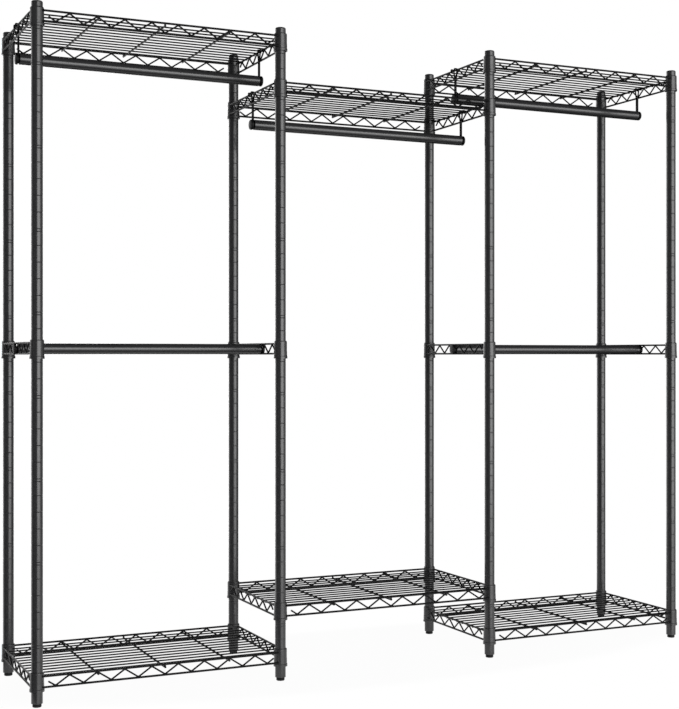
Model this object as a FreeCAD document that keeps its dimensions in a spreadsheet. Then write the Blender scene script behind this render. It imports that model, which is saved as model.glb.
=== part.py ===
import FreeCAD, Part
import os
from math import atan2, cos

# Open frame wardrobe: three bays of wire shelves, side rails and hanging rods on eight round posts.
# Millimetres. +X runs along the bays, +Y goes to the back, +Z is up.
# The origin is on the floor, under the middle of the frame.

# Driving sizes: alias, value, what it is
SIZES = (
    ("bay_pitch", "730", "post centre to post centre along the front"),
    ("depth_pitch", "405", "front post centre to back post centre"),
    ("post_dia", "32", "outside of a post"),
    ("post_wall", "1.4", "wall of a post"),
    ("post_head", "29", "post tube above the highest shelf level"),
    ("first_level", "80.4", "floor to the lowest shelf level"),
    ("level_pitch", "46.15", "one step of the adjustable levels on a post"),
    ("middle_low_step", "3", "steps up to the middle bay's low shelf"),
    ("rail_step", "20", "steps up to the side rails"),
    ("middle_top_step", "37", "steps up to the middle bay's top shelf"),
    ("top_step", "40", "steps up to the outer bays' top shelves"),
    ("fit_gap", "0.3", "clearance around a part that slides into another"),
    ("seat_gap", "0.2", "clearance under a part that sits on another"),
    ("foot_height", "10", "foot below the post"),
    ("foot_inset", "3.5", "edge of a foot inside the edge of its post"),
    ("foot_bevel", "2", "bevel round the sole of a foot"),
    ("stud_dia", "9.5", "threaded stud of a foot"),
    ("stud_length", "34", "stud above the foot"),
    ("insert_length", "20", "threaded insert in the bottom of a post"),
    ("cap_height", "5", "cap above the post"),
    ("cap_bevel", "3.5", "bevel round the top of a cap"),
    ("cap_plug", "15", "cap inside the post"),
    ("sleeve_wall", "2", "wall of a split sleeve"),
    ("sleeve_slot", "1", "slot between the two halves of a sleeve"),
    ("sleeve_proud", "1.5", "sleeve above its collar"),
    ("collar_wall", "1.2", "wall of a collar"),
    ("collar_lip", "7", "height of the lip at the bottom of a collar"),
    ("collar_flare", "1.2", "lip of a collar outside its wall"),
    ("collar_above", "9", "collar above the middle of the top wire"),
    ("collar_below", "11", "collar below the middle of the bottom wire"),
    ("deck_rise", "6", "middle of a shelf's top wire above its level"),
    ("truss_drop", "32", "top wire to bottom wire of a shelf"),
    ("wire_inset", "4.3", "middle of a shelf or rail wire inside the collar's edge"),
    ("frame_wire", "5", "top and bottom wires"),
    ("zigzag_wire", "3.5", "zigzag wires"),
    ("deck_wire", "3.5", "thin wires of a deck"),
    ("rib_wire", "5", "cross ribs under a deck"),
    ("weld", "0.5", "depth that a thin wire sinks into the side wire it is welded under"),
    ("deck_wires", "12", "thin wires in a deck"),
    ("deck_margin", "31.6", "front wire to the first thin wire"),
    ("ribs", "3", "cross ribs under a deck"),
    ("rib_margin", "169", "post centre to the first rib"),
    ("rib_overhang", "6", "end of a rib past the middle of the front wire"),
    ("long_zigzags", "9", "low points of a front or back zigzag"),
    ("long_margin", "50", "post centre to the first low point, front and back"),
    ("side_zigzags", "6", "low points of a shelf's side zigzag"),
    ("side_margin", "42.5", "post centre to the first low point, sides"),
    ("rail_rise", "4", "middle of a rail's top wire above its level"),
    ("rail_drop", "25", "top wire to bottom wire of a rail"),
    ("rail_zigzags", "5", "low points of a rail's zigzag"),
    ("rail_margin", "64.5", "post centre to the first low point of a rail"),
    ("rod_dia", "32", "outside of a hanging rod"),
    ("rod_wall", "1.2", "wall of a hanging rod"),
    ("rod_play", "0.5", "clearance each side of the wire that holds a rod's end"),
    ("rod_neck", "14", "neck of a rod's end piece"),
    ("rod_flange", "7", "thickness of a rod's end flange"),
    ("rod_bevel", "1.5", "bevel round a rod's end flange"),
    ("rod_plug", "16", "end piece inside the rod"),
    ("hook_gap", "44", "space for hooks between a rod and the shelf above"),
    ("hanger_wire", "4", "bent wire that carries a top rod"),
    ("hanger_spread", "16", "between the legs of a hanger at the shelf"),
    ("hanger_stem", "4.5", "between the legs of a hanger at its stem"),
    ("hook_tip", "3.5", "hanger's tips below the middle of the wire they hook over"),
)

# Flat sides of the small round pieces, which are repeated many times
HEAD_SIDES = 16
COLLAR_SIDES = 10
PLUG_SIDES = 10
STUD_SIDES = 8

BAYS = ("left", "middle", "right")
Y_AXIS = FreeCAD.Vector(0, 1, 0)
Z_AXIS = FreeCAD.Vector(0, 0, 1)

doc = FreeCAD.newDocument("open_frame_wardrobe")
sheet = doc.addObject("Spreadsheet::Sheet", "sizes")
for row, (alias, value, meaning) in enumerate(SIZES, start=1):
    sheet.set(f"A{row}", meaning)
    sheet.set(f"B{row}", value)
    sheet.setAlias(f"B{row}", alias)
doc.recompute()

# Sizes that several pieces share, as expressions on the sheet
POST_R = "sizes.post_dia / 2"
POST_BORE_R = "(sizes.post_dia / 2 - sizes.post_wall)"
POST_FOOT_Z = "(sizes.foot_height + sizes.seat_gap)"
TOP_LEVEL = "(sizes.first_level + sizes.level_pitch * sizes.top_step)"
POST_LENGTH = f"({TOP_LEVEL} + sizes.post_head - {POST_FOOT_Z})"
POST_TOP_Z = f"({TOP_LEVEL} + sizes.post_head)"
HALF_BAY = "sizes.bay_pitch / 2"
HALF_DEPTH = "sizes.depth_pitch / 2"
FOOT_R = "(sizes.post_dia / 2 - sizes.foot_inset)"
SLEEVE_R = "(sizes.post_dia / 2 + sizes.fit_gap + sizes.sleeve_wall)"
COLLAR_BORE_R = f"({SLEEVE_R} + sizes.fit_gap)"
COLLAR_R = f"({COLLAR_BORE_R} + sizes.collar_wall)"
WIRE_OFFSET = f"({COLLAR_R} - sizes.wire_inset)"
FRONT_PLANE = f"(sizes.depth_pitch / 2 + {WIRE_OFFSET})"
SIDE_PLANE = f"(sizes.bay_pitch / 2 + {WIRE_OFFSET})"
BOTTOM_WIRE_Z = "(sizes.deck_rise - sizes.truss_drop)"
RAIL_BOTTOM_Z = "(sizes.rail_rise - sizes.rail_drop)"
COLLAR_TOP_Z = "(sizes.deck_rise + sizes.collar_above)"
COLLAR_BOTTOM_Z = f"({BOTTOM_WIRE_Z} - sizes.collar_below)"
ROD_BORE_R = "(sizes.rod_dia / 2 - sizes.rod_wall)"
TOP_ROD_Z = f"({BOTTOM_WIRE_Z} - sizes.frame_wire / 2 - sizes.hook_gap - sizes.rod_dia / 2)"
HANGER_INSET = "(sizes.frame_wire / 2 + sizes.rod_play + sizes.hanger_wire / 2)"
HANGER_PLANE = f"({SIDE_PLANE} - {HANGER_INSET})"


def size(alias):
    """A driving size, as a number."""
    return float(getattr(sheet, alias))


def bind(item, expressions):
    """Tie properties of an object to the sheet."""
    for path, text in expressions.items():
        item.setExpression(path, text)


def at(item, x="0", y="0", z="0"):
    """Tie an object's place to the sheet."""
    bind(item, {"Placement.Base.x": x, "Placement.Base.y": y, "Placement.Base.z": z})
    return item


def bar(name, length, width, height, x="0", y="0", z="0"):
    """A straight wire of square section, centred on x, y, z."""
    item = doc.addObject("Part::Box", name)
    bind(item, {"Length": length, "Width": width, "Height": height})
    return at(item, f"{x} - ({length}) / 2", f"{y} - ({width}) / 2", f"{z} - ({height}) / 2")


def cylinder(name, radius, height, z="0"):
    """A round bar along Z, standing on z."""
    item = doc.addObject("Part::Cylinder", name)
    bind(item, {"Radius": radius, "Height": height})
    return at(item, z=z)


def prism(name, sides, corner_radius, height, z="0"):
    """A many-sided bar along Z, standing on z, measured over its corners."""
    item = doc.addObject("Part::Prism", name)
    item.Polygon = sides
    bind(item, {"Circumradius": corner_radius, "Height": height})
    return at(item, z=z)


def head(name, corner_radius, height, bevel, end, z="0"):
    """A many-sided head along Z, standing on z, with a bevel round its top or bottom."""
    body = doc.addObject("PartDesign::Body", name)
    block = body.newObject("PartDesign::AdditivePrism", f"{name}_block")
    block.Polygon = HEAD_SIDES
    bind(block, {"Circumradius": corner_radius, "Height": height})
    doc.recompute([block])
    heights = [face.CenterOfMass.z for face in block.Shape.Faces]
    flat = heights.index(max(heights) if end == "top" else min(heights))
    edge = body.newObject("PartDesign::Chamfer", f"{name}_edge")
    edge.Base = (block, [f"Face{flat + 1}"])
    bind(edge, {"Size": bevel})
    return at(body, z=z)


def strip(name, points, shift, thickness):
    """A flat bent wire in the XZ plane: a centre line thickened by a shift each way."""
    one_side = [FreeCAD.Vector(x + shift[0], -thickness / 2, z + shift[1]) for x, z in points]
    other_side = [FreeCAD.Vector(x - shift[0], -thickness / 2, z - shift[1]) for x, z in points]
    outline = one_side + other_side[::-1]
    item = doc.addObject("Part::Feature", name)
    item.Shape = Part.Face(Part.makePolygon(outline + outline[:1])).extrude(Y_AXIS * thickness)
    return item


def zigzag(name, span, margin, lows, low_z, high_z, wire):
    """A zigzag wire centred on X: low points from margin to margin, cut off halfway up at both ends."""
    pitch = (span - 2 * margin) / (lows - 1)
    first = margin - span / 2
    middle_z = (low_z + high_z) / 2
    points = [(first - pitch / 4, middle_z)]
    for index in range(lows):
        points.append((first + index * pitch, low_z))
        if index < lows - 1:
            points.append((first + (index + 0.5) * pitch, high_z))
    points.append((first + (lows - 1) * pitch + pitch / 4, middle_z))
    slope = atan2(high_z - low_z, pitch / 2)
    return strip(name, points, (0, wire / 2 / cos(slope)), wire)


def fuse(name, items):
    """Several pieces welded into one."""
    item = doc.addObject("Part::MultiFuse", name)
    item.Shapes = items
    item.Refine = True
    return item


def cut(name, base, tool):
    """A piece with another taken out of it."""
    item = doc.addObject("Part::Cut", name)
    item.Base = base
    item.Tool = tool
    item.Refine = True
    return item


def group(name, items):
    """Separate pieces under one name."""
    item = doc.addObject("Part::Compound", name)
    item.Links = items
    return item


def placed(name, source, x="0", y="0", z="0", axis=Z_AXIS, turn=0):
    """A copy of a piece, turned about an axis and moved to its place."""
    item = group(name, [source])
    item.Placement.Rotation = FreeCAD.Rotation(axis, turn)
    return at(item, x, y, z)


def tube(name, outer_radius, bore_radius, length):
    """A round tube along Z, standing on zero."""
    outside = cylinder(f"{name}_outside", outer_radius, length)
    bore = cylinder(f"{name}_bore", bore_radius, length)
    return cut(name, outside, bore)


def level_z(step):
    """Height of a shelf level above the floor."""
    return f"sizes.first_level + sizes.level_pitch * ({step})"


def post_x(index):
    """Place of a post along the front, counted from the left."""
    return f"({index} - {len(BAYS)} / 2) * sizes.bay_pitch"


def bay_x(index):
    """Middle of a bay along the front, counted from the left."""
    return f"({index} - {len(BAYS) - 1} / 2) * sizes.bay_pitch"


# Post: one round steel tube
post = tube("post", POST_R, POST_BORE_R, POST_LENGTH)


# Post cap: a bevelled head on the tube, and a plug inside it
def make_cap():
    crown = head("cap_crown", POST_R, "sizes.cap_height", "sizes.cap_bevel", "top", "sizes.seat_gap")
    plug = prism("cap_plug_body", PLUG_SIDES, f"{POST_BORE_R} - sizes.fit_gap",
                 "sizes.cap_plug + sizes.seat_gap", "-sizes.cap_plug")
    return fuse("cap", [crown, plug])


# Threaded insert in the bottom of a post, with a through hole for the stud
def make_insert():
    body = prism("insert_body", PLUG_SIDES, f"{POST_BORE_R} - sizes.fit_gap", "sizes.insert_length")
    hole_corner = f"(sizes.stud_dia / 2 + sizes.fit_gap) / cos(180 deg / {STUD_SIDES})"
    hole = prism("insert_hole", STUD_SIDES, hole_corner, "sizes.insert_length")
    return cut("insert", body, hole)


# Levelling foot: a round sole with a bevelled edge, and a stud that screws into the insert
def make_foot():
    sole = head("foot_sole", FOOT_R, "sizes.foot_height", "sizes.foot_bevel", "bottom")
    stud = prism("foot_stud", STUD_SIDES, "sizes.stud_dia / 2", "sizes.stud_length", "sizes.foot_height")
    return fuse("foot", [sole, stud])


# Split sleeve: two halves that close round a post inside a collar
def make_sleeve():
    height = f"({COLLAR_TOP_Z} + sizes.sleeve_proud - {COLLAR_BOTTOM_Z})"
    body = prism("sleeve_body", COLLAR_SIDES, SLEEVE_R, height, COLLAR_BOTTOM_Z)
    bore_corner = f"(sizes.post_dia / 2 + sizes.fit_gap) / cos(180 deg / {COLLAR_SIDES})"
    bore = prism("sleeve_bore", COLLAR_SIDES, bore_corner, height, COLLAR_BOTTOM_Z)
    slot = bar("sleeve_slot_cut", f"2 * {SLEEVE_R}", "sizes.sleeve_slot", height,
               z=f"{COLLAR_BOTTOM_Z} + {height} / 2")
    return cut("sleeve", body, fuse("sleeve_cuts", [bore, slot]))


# Collar: a ring with a lip, slid down over a sleeve; its bore is cut after the wires are welded on
def make_collar():
    height = f"({COLLAR_TOP_Z} - {COLLAR_BOTTOM_Z})"
    ring = prism("collar_ring", COLLAR_SIDES, COLLAR_R, height, COLLAR_BOTTOM_Z)
    lip = prism("collar_lip_ring", COLLAR_SIDES, f"{COLLAR_R} + sizes.collar_flare", "sizes.collar_lip",
                COLLAR_BOTTOM_Z)
    bore = prism("collar_bore", COLLAR_SIDES, COLLAR_BORE_R, height, COLLAR_BOTTOM_Z)
    return fuse("collar", [ring, lip]), bore


cap = make_cap()
insert = make_insert()
foot = make_foot()
sleeve = make_sleeve()
collar, collar_bore = make_collar()


def corners(name, source):
    """Copies of a piece on the four posts of a bay, about the middle of the bay."""
    items = []
    for side_x in (-1, 1):
        for side_y in (-1, 1):
            x = f"{side_x} * {HALF_BAY}"
            y = f"{side_y} * {HALF_DEPTH}"
            items.append(placed(f"{name}_{len(items) + 1}", source, x, y))
    return items


# Wire shelf: collars, top and bottom wires, zigzags, thin deck wires welded under the side wires, and ribs under
# those that rise to the front and back wires; the outermost thin wires end on the collars
def make_shelf():
    wires = []
    low_z = size("deck_rise") - size("truss_drop") + size("frame_wire") / 2
    high_z = size("deck_rise") - size("frame_wire") / 2
    for side in (-1, 1):
        front_y = f"{side} * {FRONT_PLANE}"
        side_x = f"{side} * {SIDE_PLANE}"
        for height, z in (("top", "sizes.deck_rise"), ("bottom", BOTTOM_WIRE_Z)):
            wires.append(bar(f"long_{height}_wire_{side + 2}", "sizes.bay_pitch", "sizes.frame_wire",
                             "sizes.frame_wire", y=front_y, z=z))
            wires.append(bar(f"side_{height}_wire_{side + 2}", "sizes.frame_wire", "sizes.depth_pitch",
                             "sizes.frame_wire", x=side_x, z=z))
        long_zigzag = zigzag(f"long_zigzag_{side + 2}", size("bay_pitch"), size("long_margin"),
                             int(size("long_zigzags")), low_z, high_z, size("zigzag_wire"))
        wires.append(at(long_zigzag, y=front_y))
        side_zigzag = zigzag(f"side_zigzag_{side + 2}", size("depth_pitch"), size("side_margin"),
                             int(size("side_zigzags")), low_z, high_z, size("zigzag_wire"))
        side_zigzag.Placement.Rotation = FreeCAD.Rotation(Z_AXIS, 90)
        wires.append(at(side_zigzag, x=side_x))
    thin_z = "(sizes.deck_rise - sizes.frame_wire / 2 + sizes.weld - sizes.deck_wire / 2)"
    rib_z = f"({thin_z} - sizes.deck_wire / 2 - sizes.seat_gap - sizes.rib_wire / 2)"
    last = int(size("deck_wires")) - 1
    for index in range(last + 1):
        pitch = f"2 * ({FRONT_PLANE} - sizes.deck_margin) / (sizes.deck_wires - 1)"
        length = "sizes.bay_pitch" if index in (0, last) else f"2 * {SIDE_PLANE}"
        wires.append(bar(f"thin_wire_{index + 1}", length, "sizes.deck_wire", "sizes.deck_wire",
                         y=f"sizes.deck_margin - {FRONT_PLANE} + {index} * {pitch}", z=thin_z))
    for index in range(int(size("ribs"))):
        pitch = "(sizes.bay_pitch - 2 * sizes.rib_margin) / (sizes.ribs - 1)"
        x = f"sizes.rib_margin - {HALF_BAY} + {index} * {pitch}"
        wires.append(bar(f"rib_{index + 1}", "sizes.rib_wire", f"2 * ({FRONT_PLANE} + sizes.rib_overhang)",
                         "sizes.rib_wire", x=x, z=rib_z))
        for side in (-1, 1):
            wires.append(bar(f"rib_end_{index + 1}_{side + 2}", "sizes.rib_wire", "sizes.rib_wire",
                             f"sizes.deck_rise - {rib_z}", x=x, y=f"{side} * {FRONT_PLANE}",
                             z=f"(sizes.deck_rise + {rib_z}) / 2"))
    welded = fuse("shelf_welded", corners("shelf_collar", collar) + wires)
    bores = group("shelf_bores", corners("shelf_bore", collar_bore))
    return cut("shelf", welded, bores)


# Side rail: two collars with two wires and a zigzag between a front and a back post; a rod rests in it
def make_rail():
    low_z = size("rail_rise") - size("rail_drop") + size("frame_wire") / 2
    high_z = size("rail_rise") - size("frame_wire") / 2
    plane = f"-{WIRE_OFFSET}"
    wires = []
    for height, z in (("top", "sizes.rail_rise"), ("bottom", RAIL_BOTTOM_Z)):
        wires.append(bar(f"rail_{height}_wire", "sizes.frame_wire", "sizes.depth_pitch", "sizes.frame_wire",
                         x=plane, z=z))
    rail_zigzag = zigzag("rail_zigzag", size("depth_pitch"), size("rail_margin"),
                         int(size("rail_zigzags")), low_z, high_z, size("zigzag_wire"))
    rail_zigzag.Placement.Rotation = FreeCAD.Rotation(Z_AXIS, 90)
    wires.append(at(rail_zigzag, x=plane))
    rings = []
    bores = []
    for side in (-1, 1):
        rings.append(placed(f"rail_collar_{side + 2}", collar, y=f"{side} * {HALF_DEPTH}"))
        bores.append(placed(f"rail_bore_{side + 2}", collar_bore, y=f"{side} * {HALF_DEPTH}"))
    welded = fuse("rail_welded", rings + wires)
    return cut("rail", welded, group("rail_bores", bores))


def rail_rod_z():
    """Height of a rail's rod above its level: the rod's neck lies in the zigzag's middle V."""
    pitch = "((sizes.depth_pitch - 2 * sizes.rail_margin) / (sizes.rail_zigzags - 1))"
    rise = "(sizes.rail_drop - sizes.frame_wire)"
    slope = f"atan({rise} / ({pitch} / 2))"
    reach = "(sizes.rod_neck / 2 + sizes.fit_gap + sizes.zigzag_wire / 2)"
    return f"{RAIL_BOTTOM_Z} + sizes.frame_wire / 2 + {reach} / cos({slope})"


# Rod end piece along +Z: a plug in the tube, a neck through the wire that holds it, a bevelled flange
def make_rod_end(name, wire):
    neck_length = f"({wire} + 2 * sizes.rod_play)"
    plug = prism(f"{name}_plug", PLUG_SIDES, f"{ROD_BORE_R} - sizes.fit_gap", "sizes.rod_plug",
                 "-sizes.rod_plug")
    neck = prism(f"{name}_neck", PLUG_SIDES, "sizes.rod_neck / 2", neck_length)
    flange = head(f"{name}_flange", "sizes.rod_dia / 2", "sizes.rod_flange", "sizes.rod_bevel", "top",
                  neck_length)
    return fuse(name, [plug, neck, flange])


# Hanger: two wire legs that hook over a shelf's side wire, run together to a stem and end in a ring
# It is drawn for a left side: X is measured inwards from the shelf's side wire
def make_hanger():
    wire = "sizes.hanger_wire"
    ring_bore_corner = f"(sizes.rod_neck / 2 + sizes.fit_gap) / cos(180 deg / {PLUG_SIDES})"
    ring_corner = f"({ring_bore_corner} + {wire})"
    disc = prism("hanger_disc", PLUG_SIDES, ring_corner, wire)
    hole = prism("hanger_hole", PLUG_SIDES, ring_bore_corner, wire)
    ring = placed("hanger_ring", cut("hanger_ring_flat", disc, hole),
                  x=f"{HANGER_INSET} - {wire} / 2", z=TOP_ROD_Z, axis=Y_AXIS, turn=90)
    hook_z = f"(sizes.deck_rise + sizes.frame_wire / 2 + sizes.seat_gap + {wire} / 2)"
    reach = f"(sizes.frame_wire / 2 + sizes.rod_play + {wire})"
    bottom_wire_z = size("deck_rise") - size("truss_drop")
    rod_z = bottom_wire_z - size("frame_wire") / 2 - size("hook_gap") - size("rod_dia") / 2
    leg_foot_z = rod_z + size("rod_neck") / 2 + size("hanger_wire") / 2
    fork_z = bottom_wire_z - size("frame_wire")
    leg_top_z = size("deck_rise") + size("frame_wire") / 2 + size("seat_gap") + size("hanger_wire")
    pieces = [ring]
    for side in (-1, 1):
        stem_y = side * size("hanger_stem") / 2
        leg_y = side * size("hanger_spread") / 2
        points = [(stem_y, leg_foot_z), (stem_y, fork_z), (leg_y, leg_top_z)]
        leg = strip(f"hanger_leg_{side + 2}", points, (size("hanger_wire") / 2, 0), size("hanger_wire"))
        leg.Placement.Rotation = FreeCAD.Rotation(Z_AXIS, 90)
        pieces.append(at(leg, x=HANGER_INSET))
        y = f"{side} * sizes.hanger_spread / 2"
        pieces.append(bar(f"hanger_hook_{side + 2}", f"2 * {reach}", wire, wire, y=y, z=hook_z))
        tip_length = f"({hook_z} + {wire} / 2 - sizes.deck_rise + sizes.hook_tip)"
        pieces.append(bar(f"hanger_tip_{side + 2}", wire, wire, tip_length, x=f"{wire} / 2 - {reach}", y=y,
                          z=f"{hook_z} + {wire} / 2 - {tip_length} / 2"))
    return fuse("hanger", pieces)


shelf = make_shelf()
rail = make_rail()
hanger = make_hanger()
sleeve_set = group("sleeve_set", corners("sleeve_corner", sleeve))

# The tube of a rod ends just inside the wires that hold its end pieces
TOP_ROD_LENGTH = f"2 * ({HANGER_PLANE} - sizes.hanger_wire / 2 - sizes.rod_play)"
RAIL_ROD_LENGTH = f"2 * ({SIDE_PLANE} - sizes.frame_wire / 2 - sizes.rod_play)"
top_rod = tube("top_rod", "sizes.rod_dia / 2", ROD_BORE_R, TOP_ROD_LENGTH)
rail_rod = tube("rail_rod", "sizes.rod_dia / 2", ROD_BORE_R, RAIL_ROD_LENGTH)
top_rod_end = make_rod_end("top_rod_end", "sizes.hanger_wire")
rail_rod_end = make_rod_end("rail_rod_end", "sizes.frame_wire")

nodes = []


def add_rod(name, bay, rod, end, length, z):
    """A hanging rod across a bay, and the end pieces in its two ends."""
    middle = bay_x(bay)
    nodes.append(placed(f"rod_{name}", rod, f"{middle} - {length} / 2", z=z, axis=Y_AXIS, turn=90))
    ends = []
    for side in (-1, 1):
        ends.append(placed(f"rod_end_{name}_{side + 2}", end, f"{middle} + {side} * {length} / 2", z=z,
                           axis=Y_AXIS, turn=90 * side))
    nodes.append(group(f"rod_ends_{name}", ends))


# Posts, with their feet, inserts and caps
inserts = []
caps = []
for row, y in (("front", f"-{HALF_DEPTH}"), ("back", HALF_DEPTH)):
    for index in range(len(BAYS) + 1):
        name = f"{row}_{index + 1}"
        nodes.append(placed(f"post_{name}", post, post_x(index), y, POST_FOOT_Z))
        nodes.append(placed(f"foot_{name}", foot, post_x(index), y))
        inserts.append(placed(f"insert_{name}", insert, post_x(index), y, POST_FOOT_Z))
        caps.append(placed(f"cap_{name}", cap, post_x(index), y, POST_TOP_Z))
nodes.append(group("foot_inserts", inserts))
nodes.append(group("post_caps", caps))

# Shelves, rails, rods and hangers of each bay; the middle bay sits lower at the top and higher at the bottom
for bay, side in enumerate(BAYS):
    outer = side != "middle"
    low_z = level_z("0" if outer else "sizes.middle_low_step")
    top_z = level_z("sizes.top_step" if outer else "sizes.middle_top_step")
    for place, z in (("bottom", low_z), ("top", top_z)):
        nodes.append(placed(f"shelf_{side}_{place}", shelf, bay_x(bay), z=z))
        nodes.append(placed(f"sleeves_{side}_{place}", sleeve_set, bay_x(bay), z=z))
    add_rod(f"{side}_top", bay, top_rod, top_rod_end, TOP_ROD_LENGTH, f"{top_z} + {TOP_ROD_Z}")
    pair = []
    for end in (-1, 1):
        pair.append(placed(f"hanger_{side}_{end + 2}", hanger, f"{bay_x(bay)} + {end} * {SIDE_PLANE}",
                           z=top_z, turn=0 if end < 0 else 180))
    nodes.append(group(f"hangers_{side}", pair))
    if outer:
        rail_z = level_z("sizes.rail_step")
        for end, turn in ((0, 0), (1, 180)):
            nodes.append(placed(f"rail_{side}_{end + 1}", rail, post_x(bay + end), z=rail_z, turn=turn))
        nodes.append(placed(f"sleeves_{side}_rails", sleeve_set, bay_x(bay), z=rail_z))
        add_rod(f"{side}_middle", bay, rail_rod, rail_rod_end, RAIL_ROD_LENGTH, f"{rail_z} + {rail_rod_z()}")

doc.recompute()

# Every object has to be sound before anything is written
for item in doc.Objects:
    if "Invalid" in item.State or "Error" in item.State:
        raise RuntimeError(f"{item.Name} failed: {item.State}")
for item in nodes:
    if item.Shape.isNull() or not item.Shape.isValid() or not item.Shape.Solids:
        raise RuntimeError(f"{item.Label} has no sound solid")

os.makedirs("parts", exist_ok=True)
for item in nodes:
    item.Shape.exportStep(f"parts/{item.Label}.step")
print(len(nodes), "sub-parts written")
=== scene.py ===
from math import atan2, cos, hypot, pi, radians, sin

import bmesh
import bpy
from bpy.props import FloatProperty, FloatVectorProperty, IntProperty, PointerProperty
from mathutils import Matrix, Vector


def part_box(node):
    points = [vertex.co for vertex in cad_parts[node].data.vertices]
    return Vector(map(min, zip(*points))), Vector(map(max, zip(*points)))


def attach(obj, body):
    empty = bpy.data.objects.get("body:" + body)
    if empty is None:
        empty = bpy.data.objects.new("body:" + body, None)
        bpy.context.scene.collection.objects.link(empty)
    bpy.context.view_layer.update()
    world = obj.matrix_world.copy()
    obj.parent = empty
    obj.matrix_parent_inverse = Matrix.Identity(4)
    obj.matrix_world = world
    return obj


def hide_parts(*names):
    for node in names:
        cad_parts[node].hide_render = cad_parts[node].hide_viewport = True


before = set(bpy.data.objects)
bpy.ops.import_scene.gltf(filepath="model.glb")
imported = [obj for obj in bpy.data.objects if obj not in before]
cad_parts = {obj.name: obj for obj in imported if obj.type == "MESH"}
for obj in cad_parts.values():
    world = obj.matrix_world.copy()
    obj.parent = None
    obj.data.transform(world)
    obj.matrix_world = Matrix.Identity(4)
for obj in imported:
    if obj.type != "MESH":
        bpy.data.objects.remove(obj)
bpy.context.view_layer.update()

bl_info = {
    "name": "Open frame wardrobe",
    "version": (1, 0, 0),
    "blender": (4, 5, 0),
    "location": "3D View > Sidebar > Wardrobe",
    "description": "Dresses the frame of a three-bay wire wardrobe and sets up its studio",
    "category": "Object",
}

# Metres everywhere. +X runs along the bays, +Y goes to the back, +Z is up.
MM = 0.001
BAYS = ("left", "middle", "right")
ROWS = ("front", "back")
MAIN_BODY = "frame"
POSTS = [(row, index) for row in ROWS for index in range(1, len(BAYS) + 2)]
FULL_TURN = 2 * pi
QUARTER_TURN = pi / 2
MERGE = 0.001 * MM
HERE = [Matrix.Identity(4)]

# Edges that stay crisp in shading: fine grooves on a tube, rounded fittings, round wires
CRISP_GROOVE = radians(12)
CRISP_FITTING = radians(32)
CRISP_WIRE = radians(60)

# Steps round a turned piece, sides of a wire, order of its curve and steps along a bend
TUBE_STEPS = 40
FITTING_STEPS = 32
THREAD_STEPS = 12
WIRE_ROUNDNESS = 3
WIRE_ORDER = 3
BEND_STEPS = 4
EDGE_SEGMENTS = 3

# Edges within this distance of a turned piece's outside are rounded
RIM_REACH = 1 * MM


def linear(hex_colour):
    """An sRGB hex colour as linear red, green and blue."""
    parts = [int(hex_colour[place:place + 2], 16) / 255 for place in (1, 3, 5)]
    return tuple(part / 12.92 if part <= 0.04045 else ((part + 0.055) / 1.055) ** 2.4 for part in parts)


def length_mm(name, value, description):
    """A length that the sidebar offers, given here in millimetres."""
    return FloatProperty(name=name, description=description, default=value * MM, min=0, unit="LENGTH",
                         precision=4)


def colour_of(name, hex_colour, description):
    """A colour that the sidebar offers, given here as sRGB hex."""
    return FloatVectorProperty(name=name, description=description, default=linear(hex_colour), min=0, max=1,
                               subtype="COLOR")


class WardrobePostSizes(bpy.types.PropertyGroup):
    """Sizes of the posts with their caps, feet and sleeves."""

    wall: length_mm("Post wall", 1.4, "Wall of a post tube")
    first_level: length_mm("First level", 80.4, "Floor to the lowest groove of a post")
    level_pitch: length_mm("Level pitch", 46.15, "One step of the level grooves")
    levels: IntProperty(name="Levels", description="Steps above the lowest groove", default=40, min=1)
    marker_gap: length_mm("Marker gap", 7.5, "Second groove under every fifth level")
    groove_width: length_mm("Groove width", 2.4, "Width of a level groove")
    groove_depth: length_mm("Groove depth", 0.55, "Depth of a level groove")
    cap_round: length_mm("Cap round", 4.2, "Rounding of a cap's rim")
    cap_plug: length_mm("Cap plug", 14.3, "Radius of a cap's plug in the tube")
    foot_round: length_mm("Foot round", 1.8, "Rounding of a foot's sole")
    stud: length_mm("Stud", 4.7, "Radius over the thread of a foot's stud")
    thread_pitch: length_mm("Thread pitch", 1.5, "Pitch of the stud's thread")
    sleeve_bore: length_mm("Sleeve bore", 16.3, "Inside radius of a split sleeve")
    sleeve_radius: length_mm("Sleeve radius", 18.2, "Outside radius of a split sleeve")
    sleeve_slot: length_mm("Sleeve slot", 1.0, "Slot between the halves of a sleeve")


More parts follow.
